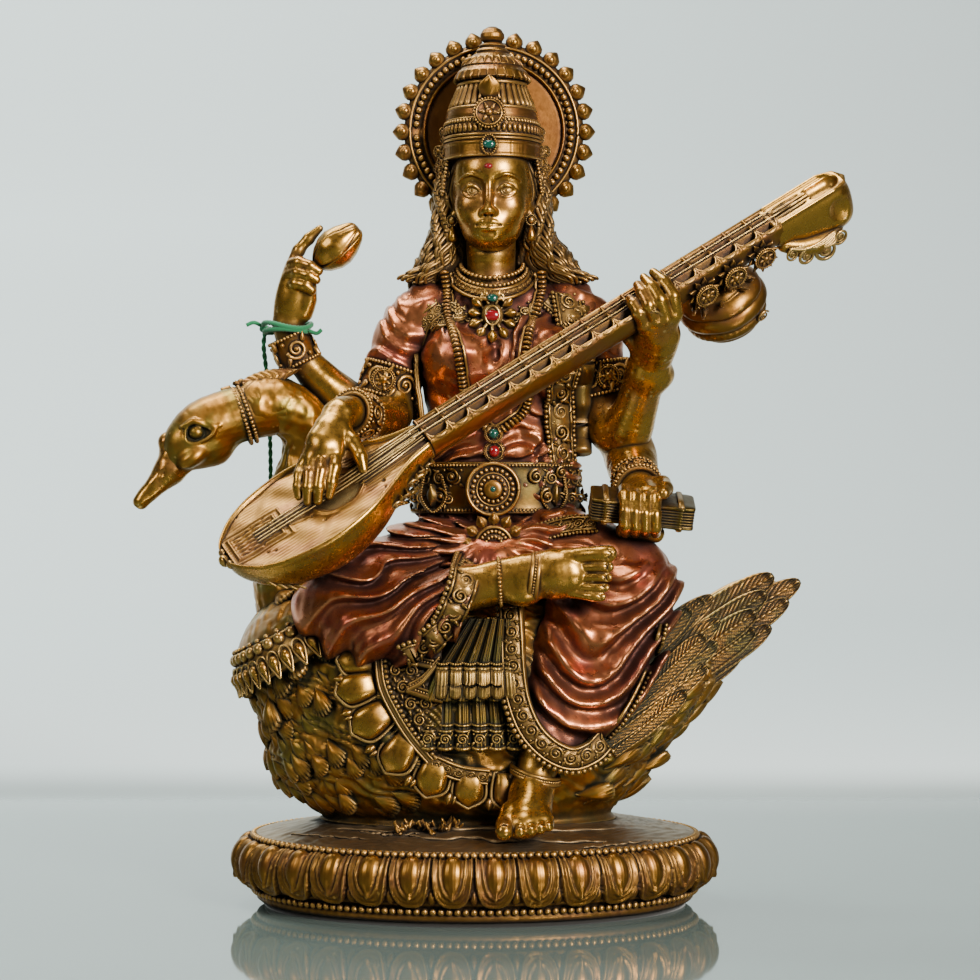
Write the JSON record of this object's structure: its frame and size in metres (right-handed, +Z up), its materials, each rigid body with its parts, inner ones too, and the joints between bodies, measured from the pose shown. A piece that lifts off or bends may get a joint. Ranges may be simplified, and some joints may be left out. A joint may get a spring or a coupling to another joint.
{
  "type": "deity figurine",
  "caption": "Cast figurine in antiqued bronze: a four-armed goddess with a long-necked lute, seated on a swan on an oval lotus plinth.",
  "frame": {"origin": "centre of the underside of the plinth's felt pad, on the surface that the figurine stands on", "axes": "+Z up, -Y the front, where the goddess faces, +X towards the swan's tail and the head of the lute"},
  "size_m": [0.2022, 0.1127, 0.2543],
  "materials": {
    "bronze": "antiqued bronze, dark in the recesses, worn bright on the edges",
    "gold": "antiqued gold bronze, satin",
    "copper": "metallic copper red over dark bronze, satin",
    "brocade": "antiqued bronze with dark, finely figured ground",
    "plumage": "antiqued gold with a green tint, satin",
    "water": "dark antiqued bronze, satin",
    "hair": "dark antiqued bronze",
    "felt": "matt",
    "thread": "matt"
  },
  "bodies": {
    "root": {"base_pad": "felt", "base_plinth": "bronze", "lower_bead_rim": "bronze", "upper_bead_rim": "bronze", "lotus_petal_band": "bronze", "water_top": "water", "swan_body": "plumage", "swan_neck": "plumage", "swan_head": "plumage", "swan_bill": "gold", "swan_crest": "gold", "swan_collar": "gold", "saddle_cloth": "brocade", "swan_wing": "plumage", "swan_tail": "plumage", "veena_bowl": "gold", "veena_soundboard": "gold", "veena_neck": "gold", "veena_headstock": "gold", "veena_gourd": "bronze", "manuscript": "brocade", "right_rear_bracelet": "bronze", "right_rear_hand": "gold", "right_rear_forearm": "gold", "right_front_bracelet": "bronze", "right_front_hand": "gold", "right_front_forearm": "gold", "left_front_hand": "gold", "left_front_forearm": "gold", "left_rear_bracelet": "bronze", "left_rear_hand": "gold", "left_rear_forearm": "gold", "lotus_bud": "gold", "right_foot": "gold", "right_anklet": "bronze", "left_foot": "gold", "left_anklet": "bronze", "right_leg_drape": "copper", "left_leg_drape": "copper", "lap_drape": "copper", "front_pleats": "brocade", "neck": "gold", "head": "gold", "crown": "bronze", "crown_finial": "bronze", "torso": "copper", "right_sleeve": "copper", "left_sleeve": "copper", "shoulder_sash": "brocade", "necklace": "gold", "pendant": "gold", "waist_belt": "bronze", "belt_medallion": "bronze", "hair_right": "hair", "hair_left": "hair", "halo_rim": "bronze", "halo_disc": "copper", "thread_loop": "thread", "thread_tail": "thread"}
  },
  "joints": []
}
